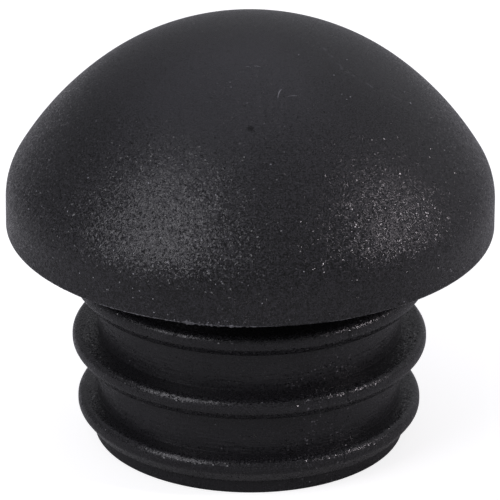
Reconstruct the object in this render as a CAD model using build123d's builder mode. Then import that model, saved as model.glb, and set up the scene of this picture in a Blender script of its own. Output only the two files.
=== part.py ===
from build123d import *
from math import cos, radians, sin
import os

# Domed glide for a round chair leg tube: one plastic moulding, with a domed head that slides on
# the floor and a hollow ribbed stem that is pressed into the tube. Sizes are in millimetres and
# degrees. The origin is on the axis, in the flat seat under the head; the dome points to +Z.

# The leg tube that the glide closes
tube_outer_radius = 12.5
tube_bore_radius = 11.0

# Domed head: a short upright band, a tight shoulder arc, and the wide arc of the crown
head_overhang = 3.0
band_height = 2.15
shoulder_arc = 2.05
shoulder_end_slope = 22.2

# Ribs round the stem
rib_count = 3
rib_interference = 0.3
lead_rib_clearance = 0.05
rib_height = 1.6
rib_thickness = 1.4
lead_rib_thickness = 1.6
rib_top_bevel = 0.25
rib_lead_bevel = 0.5
rib_pitch = 4.4
first_rib_drop = 2.8

# Plain foot below the last rib
foot_step = 0.2
foot_height = 1.05

# Blind hollow, open at the stem's end
wall_thickness = 2.4
crown_thickness = 9.5
hollow_end_bevel = 0.4

# Sizes that follow from the ones above
head_radius = tube_outer_radius + head_overhang
rib_radius = tube_bore_radius + rib_interference
lead_rib_radius = tube_bore_radius - lead_rib_clearance
stem_radius = rib_radius - rib_height
foot_radius = stem_radius + foot_step
lead_rib_top = first_rib_drop + (rib_count - 1) * rib_pitch
lead_rib_bottom = lead_rib_top + lead_rib_thickness
stem_length = lead_rib_bottom + foot_height

# The crown's arc meets the shoulder's without a corner and has its centre on the axis
crown_arc = shoulder_arc + (head_radius - shoulder_arc) / cos(radians(shoulder_end_slope))
crown_centre_height = band_height + (shoulder_arc - crown_arc) * sin(radians(shoulder_end_slope))
head_height = crown_centre_height + crown_arc
hollow_depth = stem_length + head_height - crown_thickness


def widest_ring(piece, height):
    """The widest round edge that lies at this height."""
    rings = piece.edges().filter_by(GeomType.CIRCLE)
    return rings.filter_by_position(Axis.Z, height, height).sort_by(SortBy.RADIUS)[-1]


with BuildPart() as glide:
    # Domed head, turned from half of its section
    with BuildSketch(Plane.XZ) as head_section:
        with BuildLine() as head_outline:
            band = Line((head_radius, 0), (head_radius, band_height))
            shoulder = JernArc(band @ 1, band % 1, shoulder_arc, shoulder_end_slope)
            crown = JernArc(shoulder @ 1, shoulder % 1, crown_arc, 90 - shoulder_end_slope)
            Polyline(crown @ 1, (0, 0), band @ 0)
        make_face()
    revolve(axis=Axis.Z)

    # Round stem down to the last rib, and the slightly wider foot below it
    with BuildSketch(Plane.XY) as stem_section:
        Circle(stem_radius)
    extrude(amount=-lead_rib_bottom)
    with BuildSketch(Plane.XY.offset(-lead_rib_bottom)) as foot_section:
        Circle(foot_radius)
    extrude(amount=-foot_height)

    # Ribs: a crisp upper edge holds in the tube, and a fuller lower edge leads the way in
    for place in range(rib_count):
        leads = place == rib_count - 1
        radius = lead_rib_radius if leads else rib_radius
        thickness = lead_rib_thickness if leads else rib_thickness
        top = -first_rib_drop - place * rib_pitch
        with BuildSketch(Plane.XY.offset(top)) as rib_section:
            Circle(radius)
        extrude(amount=-thickness)
        chamfer(widest_ring(glide, top), rib_top_bevel)
        chamfer(widest_ring(glide, top - thickness), rib_lead_bevel)

    # Blind hollow with a bevelled end
    with BuildSketch(Plane.XY.offset(-stem_length)) as hollow_section:
        Circle(stem_radius - wall_thickness)
    extrude(amount=hollow_depth, mode=Mode.SUBTRACT)
    chamfer(glide.edges(Select.LAST).sort_by(Axis.Z)[-1], hollow_end_bevel)

glide.part.label = "domed_glide"

os.makedirs("parts", exist_ok=True)
export_step(glide.part, "parts/domed_glide.step")
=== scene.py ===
import bpy
import numpy as np
from math import cos, pi, radians, sin, tan
from mathutils import Matrix, Vector


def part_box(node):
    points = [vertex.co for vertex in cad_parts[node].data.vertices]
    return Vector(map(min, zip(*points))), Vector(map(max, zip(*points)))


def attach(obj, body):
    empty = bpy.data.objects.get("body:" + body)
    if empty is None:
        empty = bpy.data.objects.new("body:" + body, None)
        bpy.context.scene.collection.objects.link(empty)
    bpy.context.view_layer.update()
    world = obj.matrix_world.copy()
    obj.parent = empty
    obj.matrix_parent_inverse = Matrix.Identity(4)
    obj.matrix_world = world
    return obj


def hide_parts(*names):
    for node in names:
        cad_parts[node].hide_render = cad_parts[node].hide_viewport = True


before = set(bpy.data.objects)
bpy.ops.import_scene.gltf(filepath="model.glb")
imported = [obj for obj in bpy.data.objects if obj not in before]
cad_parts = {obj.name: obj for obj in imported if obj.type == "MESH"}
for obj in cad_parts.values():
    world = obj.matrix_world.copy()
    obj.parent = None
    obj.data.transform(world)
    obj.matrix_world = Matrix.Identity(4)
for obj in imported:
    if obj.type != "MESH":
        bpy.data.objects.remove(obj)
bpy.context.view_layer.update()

# The glide is one plastic moulding. Its surface is turned here from one closed section, with the
# true roundings of its ribs, and small moulding marks are laid on it. Lengths are in metres.
MM = 0.001
lowest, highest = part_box("domed_glide")
head_radius = highest[0]
crown_top = highest[2]
stem_end = lowest[2]

# Camera, fitted to the photograph: a 500 by 500 frame whose centre looks at a point on the axis
frame_side_px = 500
focal_px = 6100.6
camera_distance = 387.5 * MM
camera_height_angle = radians(24.83)
camera_roll = 0.0075
aim_point = Vector((0.003 * MM, 0, -1.993 * MM))
sensor_width = 36.0
nearest_seen = 0.01


# Shader graphs
class Value:
    """A shader socket in an expression: each operator adds the Math node that it stands for."""

    def __init__(self, graph, socket):
        self.graph = graph
        self.socket = socket

    def math(self, operation, *others):
        sockets = dict(enumerate((self,) + others))
        return self.graph.node("Math", {"operation": operation}, sockets)

    def __add__(self, other):
        return self.math("ADD", other)

    __radd__ = __add__

    def __mul__(self, other):
        return self.math("MULTIPLY", other)

    __rmul__ = __mul__

    def __sub__(self, other):
        return self.math("SUBTRACT", other)

    def __rsub__(self, other):
        return self.graph.node("Math", {"operation": "SUBTRACT"}, {0: other, 1: self})

    def __truediv__(self, other):
        return self.math("DIVIDE", other)

    def clamped(self):
        return self.graph.node("Clamp", {}, {"Value": self})

    def from_to(self, start, end):
        """0 at start, 1 at end, straight between the two, and held beyond them."""
        return ((self - start) / (end - start)).clamped()

    def at_most(self, other):
        return self.math("MINIMUM", other)

    def at_least(self, other):
        return self.math("MAXIMUM", other)


class Graph:
    """The nodes of one material or of the world."""

    def __init__(self, tree):
        self.tree = tree
        tree.nodes.clear()

    def node(self, kind, settings, sockets, output=0):
        """Adds one node: its settings are set first, then its sockets."""
        made = self.tree.nodes.new("ShaderNode" + kind)
        for name, setting in settings.items():
            setattr(made, name, setting)
        for name, given in sockets.items():
            if isinstance(given, Value):
                self.tree.links.new(given.socket, made.inputs[name])
            else:
                made.inputs[name].default_value = given
        return Value(self, made.outputs[output]) if made.outputs else None

    def place(self):
        """Where a point of the surface lies, in the object's own coordinates."""
        return self.node("TexCoord", {}, {}, output="Object")

    def height(self, place):
        return self.node("SeparateXYZ", {}, {"Vector": place}, output="Z")

    def noise(self, place, grains_per_mm, detail=2.0, roughness=0.5):
        """Soft cloudy noise with about this many grains in a millimetre."""
        return self.node("TexNoise", {"noise_dimensions": "3D"}, {
            "Vector": place, "Scale": grains_per_mm / MM, "Detail": detail, "Roughness": roughness})

    def cells(self, place, cells_per_mm, output):
        """Random cells: the distance from a cell's centre in cell widths, its colour or its centre."""
        return self.node("TexVoronoi", {"voronoi_dimensions": "3D", "feature": "F1"}, {
            "Vector": place, "Scale": cells_per_mm / MM}, output=output)

    def stretched(self, place, factors):
        return self.node("VectorMath", {"operation": "MULTIPLY"}, {0: place, 1: factors})

    def apart(self, place, other):
        return self.node("VectorMath", {"operation": "SUBTRACT"}, {0: place, 1: other})

    def length(self, place):
        return self.node("VectorMath", {"operation": "LENGTH"}, {0: place}, output="Value")

    def distance(self, place, point):
        return self.node("VectorMath", {"operation": "DISTANCE"}, {0: place, 1: point}, output="Value")

    def along(self, place, way):
        return self.node("VectorMath", {"operation": "DOT_PRODUCT"}, {0: place, 1: way}, output="Value")

    def from_segment(self, place, start, end):
        """The distance from the straight segment: to start + s (end - start), s clamped to 0 to 1."""
        span = end - start
        offset = self.apart(place, start)
        share = (self.along(offset, span) / span.length_squared).clamped()
        foot = self.node("VectorMath", {"operation": "SCALE"}, {0: span, "Scale": share})
        return self.distance(offset, foot)

    def mixed(self, share, first, second):
        """The first colour where share is 0 and the second where it is 1."""
        return self.node("Mix", {"data_type": "RGBA"}, {0: share, 6: first, 7: second}, output=2)

    def camera_sees(self):
        return self.node("LightPath", {}, {}, output="Is Camera Ray")


def new_material(name):
    material = bpy.data.materials.new(name)
    material.use_nodes = True
    return material, Graph(material.node_tree)


def new_mesh(name, points, faces, material):
    """A mesh object at the origin, in the scene."""
    mesh = bpy.data.meshes.new(name)
    mesh.from_pydata(points, [], faces)
    mesh.materials.append(material)
    made = bpy.data.objects.new(name, mesh)
    bpy.context.scene.collection.objects.link(made)
    return made


# Surfaces
def new_piece(name, points, faces, material):
    """A mesh object at the origin, smooth all over, that rides on the glide's one body."""
    piece = new_mesh(name, points.tolist(), faces, material)
    piece.data.polygons.foreach_set("use_smooth", np.ones(len(faces), dtype=bool))
    piece.data.update()
    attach(piece, "root")
    return piece


def full_turn(columns):
    """Evenly spaced angles all the way round, the first at 0."""
    return np.linspace(0, 2 * pi, columns, endpoint=False)


def grid_faces(rows, columns, rows_close=False):
    """Quads between neighbouring rows and columns of a grid whose columns close round the axis."""
    row = np.arange(rows if rows_close else rows - 1)
    near, column = np.meshgrid(row, np.arange(columns), indexing="ij")
    far, beside = (near + 1) % rows, (column + 1) % columns
    near, far = near * columns, far * columns
    return np.stack((near + column, far + column, far + beside, near + beside), axis=-1).reshape(-1, 4)


def closed_faces(rows, columns):
    """Faces of a grid whose first and last ring close in a fan, each on one of two points after the grid."""
    pole = rows * columns
    end = np.arange(columns)
    beside = (end + 1) % columns
    base = pole - columns
    fans = [(pole, a, b) for a, b in zip(end.tolist(), beside.tolist())]
    fans += [(pole + 1, b, a) for a, b in zip((base + end).tolist(), (base + beside).tolist())]
    return grid_faces(rows, columns).tolist() + fans


def flipped(faces):
    return [face[::-1] for face in faces]


def arc(centre, radius, start, end, steps):
    """Points on a circle about centre, from the start angle to the end angle, in degrees."""
    turn = np.radians(np.linspace(start, end, steps + 1))
    return np.stack([centre[0] + radius * np.cos(turn), centre[1] + radius * np.sin(turn)], axis=1)


def straight(start, end, steps):
    """Points between two ends, drawn close together near both, as half a cosine wave spaces them."""
    share = (1 - np.cos(np.linspace(0, pi, steps + 1))) / 2
    return np.outer(1 - share, start) + np.outer(share, end)


def joined(*runs):
    """One section from runs that meet end to start, with each shared point kept once."""
    points = np.concatenate(runs)
    same_point = 1e-6 * MM
    moved = np.linalg.norm(np.diff(points, axis=0), axis=1) > same_point
    return points[np.concatenate([[True], moved])]


def turned(section, angle, groove_depth, groove):
    """Each point (r, z) of the section at each angle a: (q sin a, -q cos a, z), with poles closed.

    q is r less the groove: the depth that belongs to the point times the share that belongs to the
    angle. The first and the last point lie on the axis and become one vertex each, joined by a fan.
    """
    rings = section[1:-1]
    reach = rings[:, :1] - np.outer(groove_depth[1:-1], groove)
    z = np.repeat(rings[:, 1:], len(angle), axis=1)
    points = np.stack([reach * np.sin(angle), reach * -np.cos(angle), z], axis=-1).reshape(-1, 3)
    poles = np.array([[0, 0, section[0, 1]], [0, 0, section[-1, 1]]])
    return np.concatenate([points, poles]), closed_faces(len(rings), len(angle))


def swell(angle, centre, half_width):
    """A bump of height 1 at the centre angle, falling off as a bell curve of this half width, in degrees."""
    apart = (np.degrees(angle) - centre + 180) % 360 - 180
    return np.exp(-(apart / half_width) ** 2)


def ragged(angle, lumps, seed):
    """Random heights from 0 to 1, this many in a full turn, joined by half cosine waves."""
    heights = np.random.default_rng(seed).random(lumps)
    place = angle / (2 * pi) * lumps
    before = np.floor(place).astype(int)
    share = (1 - np.cos(pi * (place - before))) / 2
    return heights[before % lumps] * (1 - share) + heights[(before + 1) % lumps] * share


# The glide's section
band_set_back = 0.03 * MM
band_radius = head_radius - band_set_back
shoulder_arc, shoulder_slope = 4.35 * MM, 30.1
flank_arc, flank_slope = 20.4 * MM, 50.2
rib_radius = 11.3 * MM
lead_rib_radius = 10.95 * MM
stem_radius = 9.7 * MM
foot_radius = 9.9 * MM
hollow_radius = 7.3 * MM
hollow_top = 3.74 * MM
hollow_round = 0.5 * MM
rib_tops = (-2.8 * MM, -7.2 * MM, -11.6 * MM)
rib_thickness = 1.4 * MM
lead_rib_thickness = 1.6 * MM
rib_top_round = 0.5 * MM
rib_land = 0.15 * MM
rib_low_round = 0.5 * MM
rib_low_slope = 37
wall_round = 0.012 * MM
corner_round = 0.08 * MM

# Steps in which each run of the section is drawn
crown_steps = 34
shoulder_steps = 16
round_steps = 10
wall_steps = 8
land_steps = 6
corner_steps = 4


def dome_section():
    """Crown, flank and shoulder arcs that meet without a corner, from the axis out to the band."""
    c1, s1 = cos(radians(shoulder_slope)), sin(radians(shoulder_slope))
    c2, s2 = cos(radians(flank_slope)), sin(radians(flank_slope))
    flank_reach = band_radius - shoulder_arc + (shoulder_arc - flank_arc) * c1
    crown_arc = flank_arc + flank_reach / c2
    rise = (shoulder_arc - flank_arc) * s1 + (flank_arc - crown_arc) * s2 + crown_arc
    band_top = crown_top - rise
    flank_centre = (flank_reach, band_top + (shoulder_arc - flank_arc) * s1)
    crown_centre = (0, flank_centre[1] + (flank_arc - crown_arc) * s2)
    return joined(
        arc(crown_centre, crown_arc, 90, flank_slope, crown_steps),
        arc(flank_centre, flank_arc, flank_slope, shoulder_slope, shoulder_steps),
        arc((band_radius - shoulder_arc, band_top), shoulder_arc, shoulder_slope, 0, shoulder_steps),
        straight((band_radius, band_top), (band_radius, corner_round), land_steps),
    )


def rib_section(top, radius, thickness):
    """A rib: a hollow corner at the wall, a flat top, a rounding, a land, a rounding and a lead-in cone."""
    below = top - thickness
    low_centre = (radius - rib_low_round, top - rib_top_round - rib_land)
    lower = arc(low_centre, rib_low_round, 0, -rib_low_slope, land_steps)
    cone_reach = (lower[-1][1] - below) * tan(radians(rib_low_slope))
    cone_end = (lower[-1][0] - cone_reach, below)
    return joined(
        arc((stem_radius + wall_round, top + wall_round), wall_round, 180, 270, corner_steps),
        straight((stem_radius + wall_round, top), (radius - rib_top_round, top), corner_steps + 1),
        arc((radius - rib_top_round, top - rib_top_round), rib_top_round, 90, 0, round_steps),
        lower,
        straight(lower[-1], cone_end, corner_steps),
        straight(cone_end, (stem_radius, below), corner_steps),
    )


def glide_section():
    """The whole closed half section, from the top of the dome round to the end of the hollow."""
    edge = corner_round
    runs = [
        dome_section(),
        arc((band_radius - edge, edge), edge, 0, -90, corner_steps),
        straight((band_radius - edge, 0), (stem_radius, 0), wall_steps),
    ]
    for place, top in enumerate(rib_tops):
        leads = place == len(rib_tops) - 1
        radius = lead_rib_radius if leads else rib_radius
        thickness = lead_rib_thickness if leads else rib_thickness
        runs.append(straight(runs[-1][-1], (stem_radius, top + wall_round), wall_steps))
        runs.append(rib_section(top, radius, thickness))
    foot_top = rib_tops[-1] - lead_rib_thickness
    hollow_end = hollow_radius - hollow_round
    runs += [
        straight((foot_radius, foot_top), (foot_radius, stem_end + edge), land_steps),
        arc((foot_radius - edge, stem_end + edge), edge, 0, -90, corner_steps),
        straight((foot_radius - edge, stem_end), (hollow_radius + edge, stem_end), land_steps),
        arc((hollow_radius + edge, stem_end + edge), edge, -90, -180, corner_steps),
        straight((hollow_radius, stem_end + edge), (hollow_radius, hollow_top - hollow_round), round_steps),
        arc((hollow_end, hollow_top - hollow_round), hollow_round, 0, 90, round_steps),
        straight((hollow_end, hollow_top), (0, hollow_top), land_steps),
    ]
    return joined(*runs)


# The mould's parting line: where it runs, in degrees, and its groove
parting_turn = 33.5
parting_half_width = 0.045 * MM
parting_depth_wall = 0.03 * MM
parting_depth_rib = 0.11 * MM
groove_steps = np.arange(-3, 4)
plain_columns = 376


def glide_body(plastic):
    """The glide turned from its section, with the mould's parting line down both sides of its stem.

    The groove's share is a bell curve over the arc length from the parting line. Its depth grows
    from the wall's to the rib's with the radius, and it is nothing on the dome and in the hollow.
    """
    section = glide_section()
    r, z = section.T
    on_stem = (z < 0) & (r > stem_radius - wall_round) & (r < rib_radius + MM)
    outwards = np.clip((r - stem_radius) / (rib_radius - stem_radius), 0, 1)
    depth = on_stem * (parting_depth_wall + (parting_depth_rib - parting_depth_wall) * outwards)
    step = parting_half_width / stem_radius
    lines = np.radians([parting_turn, parting_turn + 180])
    even = full_turn(plain_columns)
    apart = np.abs((even[:, None] - lines + pi) % (2 * pi) - pi).min(axis=1)
    clear = even[apart > step * (groove_steps[-1] + 1)]
    angle = np.sort(np.concatenate([clear, (lines[:, None] + groove_steps * step).ravel()]))
    groove = sum(swell(angle, np.degrees(line), np.degrees(step)) for line in lines)
    return new_piece("glide_body", *turned(section, angle, depth, groove), plastic)


# Flash on the dome's rim: (turn, half width, share) of each stretch with more of it, and of each lump
flash_columns = 2600
flash_around = 10
flash_inset = 0.04 * MM
flash_everywhere = 0.04
flash_stretches = ((-8, 10, 1), (-28, 13, 0.4), (22, 3, 0.25))
flash_lumps = (
    (-14.6, 0.9, 1), (-12, 0.8, 0.7), (-7.5, 0.6, 1), (-4.8, 0.25, 0.5), (-3.8, 0.3, 0.5), (-1, 0.25, 0.5))
flash_thinnest = 0.008 * MM
flash_width = 0.062 * MM
flash_height = 0.085 * MM
lump_height = 0.07 * MM
lump_rise = 0.05 * MM
flash_sag = 0.02 * MM
# Its random heights: how many of each kind in a full turn, their gain, and the least share of each
fine_tears, broad_tears, sags = 760, 170, 260
tear_gain = 1.3
least_broad, least_grown, least_lump = 0.4, 0.3, 0.5


def rim_flash(plastic):
    """The thin ragged lip that the mould leaves along the dome's lower rim, a closed ring.

    At angle a its section is an ellipse about the rim's corner, with its own half width and half
    height there. Both follow random heights, times a bell curve for each stretch with more flash.
    A bell curve for each lump adds to the height and lifts the ellipse's centre.
    """
    angle = full_turn(flash_columns)
    much = flash_everywhere + sum(share * swell(angle, *bell) for *bell, share in flash_stretches)
    lumps = sum(share * swell(angle, *bell) for *bell, share in flash_lumps)
    fine = ragged(angle, fine_tears, seed=3) ** 2 * tear_gain
    fine = fine * (least_broad + ragged(angle, broad_tears, seed=5))
    grown = np.clip(much * (least_grown + fine), 0, 1)
    width = flash_thinnest + flash_width * grown
    height = flash_thinnest + flash_height * grown + lump_height * lumps * (least_lump + fine)
    rise = lump_rise * lumps - flash_sag * much * ragged(angle, sags, seed=7)
    round_it = full_turn(flash_around)[:, None]
    r = band_radius - flash_inset + width * np.cos(round_it)
    z = rise + height * np.sin(round_it)
    points = np.stack([r * np.sin(angle), -r * np.cos(angle), z], axis=-1).reshape(-1, 3)
    faces = grid_faces(flash_around, flash_columns, rows_close=True)[:, ::-1]
    return new_piece("rim_flash", points, faces.tolist(), plastic)


# Points round a crumb or a hair, and the rings that each is drawn with
small_around = 8
crumb_rings = 5
hair_rings = 23


def crumbs(name, places, material):
    """Crumbs of torn plastic on the dome's upright band, each a closed ball pressed flat.

    A crumb stands at its turn and its height. Its point at (u, v) is the centre plus its size times
    (cos v cos u) along the band, (cos v sin u) / 2 outwards, and (sin v) up.
    """
    u = full_turn(small_around)[None, :]
    v = np.linspace(-pi / 2, pi / 2, crumb_rings + 2)[1:-1, None]
    shell = np.stack([np.cos(v) * np.cos(u), np.cos(v) * np.sin(u) / 2, np.sin(v) + 0 * u], axis=-1)
    shell = np.concatenate([shell.reshape(-1, 3), [[0, 0, -1], [0, 0, 1]]])
    skin = flipped(closed_faces(crumb_rings, small_around))
    points, faces = [], []
    for turn, height, size in places:
        a = radians(turn)
        along, out, up = np.array([[cos(a), sin(a), 0], [sin(a), -cos(a), 0], [0, 0, 1]])
        centre = out * band_radius + up * height * MM
        first = len(points) * len(shell)
        points.append(centre + shell @ np.array([along, out, up]) * size * MM)
        faces += [tuple(corner + first for corner in face) for face in skin]
    return new_piece(name, np.concatenate(points), faces, material)


def on_dome(x, y):
    """The height of the dome over (x, y), read from its section."""
    r, z = dome_section().T
    return np.interp(np.hypot(x, y), r, z)


def hair(name, start, middle, end, thickness, material):
    """A thin fibre that lies on the dome, tapering to a closed point at both ends.

    Its line over the dome is (1-t)^2 start + 2t(1-t) middle + t^2 end, at the dome's height plus a
    tenth of its thickness. Its round section has the radius thickness / 2 times the square root of
    sin(pi t).
    """
    t = np.linspace(0, 1, hair_rings + 2)[:, None]
    flat = (1 - t) ** 2 * start + 2 * t * (1 - t) * middle + t ** 2 * end
    x, y = (flat * MM).T
    line = np.stack([x, y, on_dome(x, y) + thickness / 10], axis=1)
    ahead = np.gradient(line, axis=0)
    ahead /= np.linalg.norm(ahead, axis=1, keepdims=True)
    side = np.cross(ahead, (0, 0, 1))
    side /= np.linalg.norm(side, axis=1, keepdims=True)
    above = np.cross(side, ahead)
    radius = thickness / 2 * np.sqrt(np.sin(pi * t))[:, :, None]
    turn = full_turn(small_around)[None, :, None]
    rings = line[:, None] + radius * (np.cos(turn) * side[:, None] + np.sin(turn) * above[:, None])
    points = np.concatenate([rings[1:-1].reshape(-1, 3), line[:1], line[-1:]])
    return new_piece(name, points, flipped(closed_faces(hair_rings, small_around)), material)


# The plastic's colours, with its painted glints and sparkles, and its marks: the scuff line high on the dome
# and a dark matt spot below it
grain_dark, grain_light = (0.0022, 0.0022, 0.0024, 1), (0.0190, 0.0184, 0.0216, 1)
# torn plastic is paler, partly its own colour and partly a painted highlight for the light its thin lip
# catches
torn_dark, torn_pale_and_sheen = (0.012, 0.012, 0.013, 1), (0.11, 0.11, 0.12, 1)
lint_dark, lint_light = (0.04, 0.04, 0.05, 1), (0.32, 0.32, 0.34, 1)
scuff_colour = (0.045, 0.045, 0.05, 1)
# the patch's pale facets are painted glints, a painted highlight
glint_colour = (0.14, 0.135, 0.145, 1)
# the pale specks are painted sparkles: a painted highlight for glints of the grain
painted_sparkle_colour = (0.3, 0.3, 0.32, 1)
dark_spot_colour = (0.006, 0.006, 0.006, 1)
scuff_line = [Vector(point) * MM for point in (
    (4.36, -1.14, 12.62), (5.72, -3.17, 11.87), (7.47, -3.66, 10.95), (9.30, -3.25, 9.90))]
dark_spot_centre, dark_spot_radius = Vector((-0.02, -9.11, 10.44)) * MM, 0.26 * MM
dark_spot_edge, dark_spot_share = (1.6, 0.7667), 0.8
dark_spot_roughness, dark_spot_specular = 0.9, 0.05

# Where the plastic differs: the heights over the seat, or the distances, between which a place begins
stem_begins = (0, -0.5 * MM)
wall_begins = (10.1 * MM, 9.9 * MM)
full_grain_begins = (11 * MM, 6 * MM)
rim_begins = (7 * MM, 2 * MM)
crown_begins = (8 * MM, 11 * MM)
scuff_begins = (0.13 * MM, 0.05 * MM)
# The rough patch beside the parting line: its middle, and the cosines of the angles where it begins
patch_turn = radians(parting_turn - 5)
patch_begins = (0.945, 0.9905)

# The grain, in grains in a millimetre
clouds_per_mm, gaps_per_mm, mottles_per_mm = 0.12, 3.0, 6.0
spread_per_mm = 0.9
soft_grains_per_mm, specks_per_mm, facets_per_mm = 10.0, 11.0, 10.5
# cells for the painted sparkles, pale specks that stand in for glints
sparkles_per_mm = 2.4
streaks_per_mm, streak_stretch = 6.0, (0.12, 0.12, 1.0)

# Its depth, how much of it each place keeps, and how steep its facets are
grain_depth = 0.034 * MM
crown_keeps, below_adds, stem_takes, wall_takes, patch_adds = 0.5, 0.5, 0.45, 0.2, 0.25
facet_slope, rim_facet_slope, soft_slope, streak_slope = 0.29, 0.1, 0.7, 0.9
steepest = 0.828
crown_worn, wall_worn, patch_rough = 0.55, 0.6, 0.4

# Which facets are steep, polished or pale: each facet draws a lot from 0 to 1
steep_lots = (0.82, 1)
polished_lots = (0.68, 0.78)
glint_lots = (0.955, 0.9883)

# Its contrast: of the specks, the mottle near the rim and the clouds, and the mean tone
speck_contrast, rim_speck_contrast, mottle_contrast, cloud_contrast = 4.0, 2.6, 6, 0.6
mean_tone = 0.40
scuff_gaps = (0.4833, 0.5944)
spread_gaps = (0.46, 0.585)
# The painted sparkles, pale specks that stand in for glints of the grain: how rare they are, and their
# radius in cell widths
sparkle_rarity, rim_sparkle_gain, crown_sparkle_loss, stem_sparkle_loss = 0.76, 0.12, 0.19, 0.14
sparkle_certainty = 4.5
sparkle_edge = (0.12, 0.0867)

# Its gloss
roughness, speck_roughness, cloud_roughness, stem_gloss, wall_roughness = 0.345, 0.7, 0.08, 0.03, 0.08
polish, patch_polish = 0.185, 0.8
plastic_specular = 0.4


def black_plastic():
    """Near-black plastic with a fine eroded grain that glints where it faces a lamp.

    The grain is small facets, each tilted its own way, and soft noise, both worn down on the crown.
    A few facets are steep, and some are polished. The stem is smoother, with fine streaks that run
    round its wall and a rougher patch beside the parting line, where a few pale facets are painted
    glints. Here and there a pale speck is painted into the colour as a sparkle of the grain.
    """
    material, graph = new_material("black_plastic_grained")
    place = graph.place()
    height = graph.height(place)
    outwards = graph.length(graph.stretched(place, (1, 1, 0)))

    # Shares of the places that differ: each is 1 in its place and 0 away from it
    stem = height.from_to(*stem_begins)
    wall = stem * outwards.from_to(*wall_begins)
    below_crown = height.from_to(*full_grain_begins)
    near_rim = height.from_to(*rim_begins) * (1 - stem)
    crown = height.from_to(*crown_begins)
    facing = graph.along(place, (sin(patch_turn), -cos(patch_turn), 0)) / outwards
    patch = stem * facing.from_to(*patch_begins)

    # Soft noises, from coarse to fine
    cloud = graph.noise(place, clouds_per_mm, detail=3.0)
    mottle = graph.noise(place, mottles_per_mm)
    grain = graph.noise(place, soft_grains_per_mm, detail=1.0, roughness=0.4)
    speck = graph.noise(place, specks_per_mm, detail=1.0)
    streaks = graph.noise(graph.stretched(place, streak_stretch), streaks_per_mm)

    # Relief: the height over a facet is its own random tilt times the distance from its centre
    facet_centre = graph.cells(place, facets_per_mm, "Position")
    lot = graph.node("TexWhiteNoise", {"noise_dimensions": "3D"}, {"Vector": facet_centre})
    tilt = graph.apart(graph.cells(place, facets_per_mm, "Color"), (0.5, 0.5, 0.5))
    facets = graph.along(graph.apart(place, facet_centre), tilt) / grain_depth
    kept_on_dome = crown_keeps + below_crown * below_adds
    kept_grain = kept_on_dome - stem * stem_takes - wall * wall_takes + patch * patch_adds
    unworn = (1 - crown * crown_worn) * (1 - wall * wall_worn + patch * patch_rough)
    steep = lot.from_to(*steep_lots) * steepest * unworn
    even_relief = facets * (facet_slope + near_rim * rim_facet_slope) + grain * soft_slope
    relief = even_relief * kept_grain + facets * steep + streaks * wall * streak_slope
    bump = graph.node("Bump", {}, {"Strength": 1.0, "Distance": grain_depth, "Height": relief})

    # Colour: blotches of the grain, then the scuff line, the patch's painted glints and the pale specks of
    # painted sparkle
    blotch = (speck - 0.5) * (kept_grain * speck_contrast + near_rim * rim_speck_contrast)
    blotch = blotch + (mottle - 0.5) * near_rim * mottle_contrast + (cloud - 0.5) * cloud_contrast
    colour = graph.mixed((blotch + mean_tone).clamped(), grain_dark, grain_light)
    from_scuff = [graph.from_segment(place, *ends) for ends in zip(scuff_line, scuff_line[1:])]
    near_scuff = from_scuff[0].at_most(from_scuff[1]).at_most(from_scuff[2])
    broken = graph.noise(place, gaps_per_mm, detail=3.0).from_to(*scuff_gaps)
    colour = graph.mixed(near_scuff.from_to(*scuff_begins) * broken, colour, scuff_colour)
    # Painted glints: some facets in the patch beside the parting line are pale, a painted highlight
    spread = graph.noise(place, spread_per_mm).from_to(*spread_gaps)
    colour = graph.mixed(lot.from_to(*glint_lots) * patch * spread, colour, glint_colour)
    # Painted sparkles: pale specks that stand in for glints of the grain, a painted highlight, fewer on the
    # crown and the stem
    chance = graph.node("SeparateColor", {}, {
        "Color": graph.cells(place, sparkles_per_mm, "Color")}, output="Red")
    fewer_sparkles = (crown * crown_sparkle_loss).at_least(stem * stem_sparkle_loss)
    rare = sparkle_rarity - near_rim * rim_sparkle_gain + fewer_sparkles
    painted_sparkles = ((chance - rare) * sparkle_certainty).clamped()
    from_sparkle = graph.cells(place, sparkles_per_mm, "Distance")
    colour = graph.mixed(from_sparkle.from_to(*sparkle_edge) * painted_sparkles, colour, painted_sparkle_colour)

    # Gloss, and the dark matt spot
    polished = lot.from_to(*polished_lots) * (1 - crown + patch * patch_polish)
    haze = (cloud - 0.5) * cloud_roughness - stem * stem_gloss + wall * wall_roughness
    shine = (roughness + (speck - 0.5) * speck_roughness + haze - polished * polish).clamped()
    surface = graph.node("BsdfPrincipled", {}, {
        "Base Color": colour, "Roughness": shine, "Normal": bump, "Specular IOR Level": plastic_specular})
    dark_spot = graph.node("BsdfPrincipled", {}, {
        "Base Color": dark_spot_colour, "Roughness": dark_spot_roughness, "Specular IOR Level": dark_spot_specular})
    ragged_edge = graph.distance(place, dark_spot_centre) / dark_spot_radius + speck
    in_dark_spot = ragged_edge.from_to(*dark_spot_edge) * dark_spot_share
    both = graph.node("MixShader", {}, {0: in_dark_spot, 1: surface, 2: dark_spot})
    graph.node("OutputMaterial", {}, {"Surface": both})
    return material


# Torn plastic, paler partly as a painted highlight, and lint
torn_patches_per_mm, torn_patch_edge = 5.0, (0.375, 0.625)
torn_roughness, torn_specular = 0.35, 0.45
lint_grains_per_mm, lint_roughness = 3.0, 0.7


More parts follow.
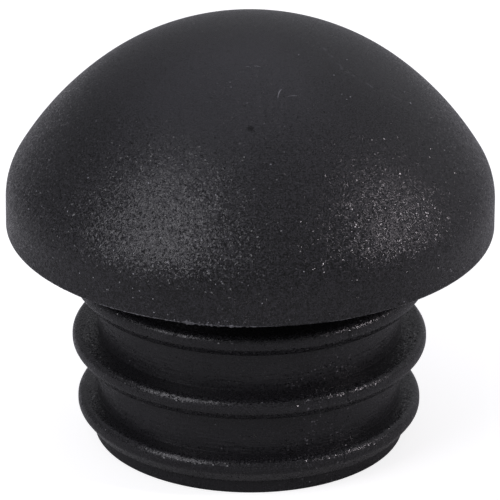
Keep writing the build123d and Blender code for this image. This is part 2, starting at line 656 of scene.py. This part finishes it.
def torn_plastic_and_sheen():
    """The same plastic where it was squeezed thin and torn: paler, partly its own colour and partly a
    painted highlight for the light its thin lip catches, and uneven in colour.
    """
    material, graph = new_material("black_plastic_torn_and_sheen")
    patches = graph.noise(graph.place(), torn_patches_per_mm).from_to(*torn_patch_edge)
    surface = graph.node("BsdfPrincipled", {}, {
        "Base Color": graph.mixed(patches, torn_dark, torn_pale_and_sheen),
        "Roughness": torn_roughness, "Specular IOR Level": torn_specular})
    graph.node("OutputMaterial", {}, {"Surface": surface})
    return material


def pale_fibre():
    """A fibre of pale lint: matt, and lighter and darker along its length."""
    material, graph = new_material("pale_lint")
    tint = graph.mixed(graph.noise(graph.place(), lint_grains_per_mm), lint_dark, lint_light)
    surface = graph.node("BsdfPrincipled", {}, {"Base Color": tint, "Roughness": lint_roughness})
    graph.node("OutputMaterial", {}, {"Surface": surface})
    return material


# Room, lamps and camera
floor_colour = (0.53, 0.53, 0.53, 1)
floor_glow = 0.74
floor_half_side = 3.0
floor_gap = 0.02 * MM
white = (1, 1, 1, 1)
room_colour = (0.94, 0.94, 1.0, 1)
# The room's light at eye level, what it gains upwards and at the back right, and loses at the back left
room_light, light_upwards, light_right_back, shade_left_back = 0.245, 0.17, 0.13, 0.11
right_back_way, left_back_way = (0.25, 0.97, 0), (-0.9, 0.45, 0)


def pale_floor():
    """A plain pale floor under the glide: white where the camera looks at it, and it keeps the shadow."""
    material, graph = new_material("pale_floor")
    matt = graph.node("BsdfDiffuse", {}, {"Color": floor_colour})
    glow = graph.node("Emission", {}, {"Color": white, "Strength": graph.camera_sees() * floor_glow})
    both = graph.node("AddShader", {}, {0: matt, 1: glow})
    graph.node("OutputMaterial", {}, {"Surface": both})
    half, level = floor_half_side, stem_end - floor_gap
    corners = [(-half, -half, level), (half, -half, level), (half, half, level), (-half, half, level)]
    new_mesh("floor", corners, [(0, 1, 2, 3)], material)


def surroundings():
    """The world: white where the camera looks, and an even soft light for everything else."""
    world = bpy.data.worlds.new("surroundings")
    bpy.context.scene.world = world
    world.use_nodes = True
    graph = Graph(world.node_tree)
    camera_sees = graph.camera_sees()
    colour = graph.mixed(camera_sees, room_colour, white)
    way = graph.node("TexCoord", {}, {}, output="Generated")
    upwards = graph.height(way).clamped()
    right_back = graph.along(way, right_back_way).clamped()
    left_back = graph.along(way, left_back_way).clamped()
    gained = upwards * light_upwards + right_back * right_back * light_right_back
    soft = room_light + gained - left_back * shade_left_back
    light = graph.node("Background", {}, {"Color": colour, "Strength": soft + camera_sees * (1 - soft)})
    graph.node("OutputWorld", {}, {"Surface": light})


def soft_lamp(name, turn, height, distance, width, tall, power, colour):
    """A flat lamp that looks at the glide; turn is measured from the front, to the right."""
    lamp = bpy.data.lights.new(name, "AREA")
    lamp.shape = "RECTANGLE"
    lamp.size = width
    lamp.size_y = tall
    lamp.energy = power
    lamp.color = colour
    turn, height = radians(turn), radians(height)
    way = Vector((sin(turn) * cos(height), -cos(turn) * cos(height), sin(height)))
    holder = bpy.data.objects.new(name, lamp)
    holder.location = way * distance
    holder.rotation_euler = way.to_track_quat("Z", "Y").to_euler()
    bpy.context.scene.collection.objects.link(holder)


def photo_camera():
    """The camera of the photograph: its height angle, its distance, its focal length and its roll."""
    lens = bpy.data.cameras.new("camera")
    lens.sensor_width = sensor_width
    lens.lens = focal_px / frame_side_px * sensor_width
    lens.clip_start = nearest_seen
    forward = Vector((0, cos(camera_height_angle), -sin(camera_height_angle)))
    right, up = Vector((1, 0, 0)), Vector((0, sin(camera_height_angle), cos(camera_height_angle)))
    side = right * cos(camera_roll) + up * sin(camera_roll)
    top = up * cos(camera_roll) - right * sin(camera_roll)
    turn = Matrix((side, top, -forward)).transposed()
    camera = bpy.data.objects.new("camera", lens)
    camera.matrix_world = Matrix.Translation(aim_point - forward * camera_distance) @ turn.to_4x4()
    bpy.context.scene.collection.objects.link(camera)
    bpy.context.scene.camera = camera


body = glide_body(black_plastic())
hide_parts("domed_glide")

# Lint and grit on the dome: each one's start, the point that bends it, its end and its thickness, in mm
lint_on_dome = {
    "lint_hook": ((1.90, -6.27), (1.68, -6.45), (1.64, -7.04), 0.06),
    "lint_strand": ((2.24, -6.80), (2.50, -6.62), (2.86, -6.60), 0.035),
    "lint_short_left": ((-0.36, -4.50), (-0.18, -4.48), (-0.02, -4.62), 0.03),
    "lint_short_right": ((0.16, -4.46), (0.40, -4.44), (0.62, -4.56), 0.03),
    "dust_grain_upper": ((-1.34, -5.81), (-1.31, -5.84), (-1.27, -5.86), 0.08),
    "dust_grain_lower": ((-1.27, -6.21), (-1.24, -6.24), (-1.20, -6.26), 0.08),
    "dust_grain_front": ((-0.28, -7.44), (-0.25, -7.47), (-0.21, -7.49), 0.09),
    "grit_far": ((5.90, -1.90), (5.94, -1.92), (5.98, -1.90), 0.10),
    "grit_left": ((5.57, -5.50), (5.60, -5.53), (5.64, -5.53), 0.08),
    "grit_right": ((6.11, -5.40), (6.14, -5.44), (6.18, -5.45), 0.08),
    "grit_near": ((5.87, -5.75), (5.90, -5.78), (5.94, -5.78), 0.08),
    "grit_back": ((2.90, -2.85), (2.94, -2.88), (2.98, -2.88), 0.09),
    "grit_edge": ((9.91, -2.80), (9.94, -2.84), (9.97, -2.90), 0.09),
    "grit_side": ((9.55, -2.07), (9.58, -2.10), (9.61, -2.12), 0.07),
    "grit_middle": ((5.08, -4.02), (5.12, -4.05), (5.18, -4.04), 0.08),
}
# Crumbs on the rim: each one's turn in degrees, and its height and size in millimetres
torn_crumbs = (
    (-7.6, 0.14, 0.05), (-6.9, 0.22, 0.06), (-6.2, 0.27, 0.045), (-5.6, 0.36, 0.05), (-9.6, 0.12, 0.05),
    (-11.3, 0.15, 0.045), (-13.6, 0.16, 0.05), (-16.4, 0.1, 0.04), (-2.0, 0.1, 0.04),
)
lint, torn = pale_fibre(), torn_plastic_and_sheen()
rim_flash(torn)
crumbs("rim_crumbs", torn_crumbs, torn)
for name, (start, middle, end, thickness) in lint_on_dome.items():
    hair(name, *np.array([start, middle, end]), thickness * MM, lint)

pale_floor()
surroundings()
soft_lamp("left_softbox", turn=-50, height=33, distance=0.35,
          width=0.19, tall=0.26, power=0.64, colour=(0.95, 0.935, 1.0))
soft_lamp("right_softbox", turn=76, height=25.5, distance=0.35,
          width=0.03, tall=0.045, power=0.325, colour=(1.0, 0.91, 0.97))
soft_lamp("top_softbox", turn=-150, height=72, distance=0.6,
          width=0.7, tall=0.7, power=0.77, colour=(0.85, 0.835, 1.0))
soft_lamp("back_softbox", turn=125, height=42, distance=0.5,
          width=0.5, tall=0.5, power=0.12, colour=(0.94, 0.92, 1.0))
photo_camera()
bpy.context.scene.view_settings.view_transform = "Standard"
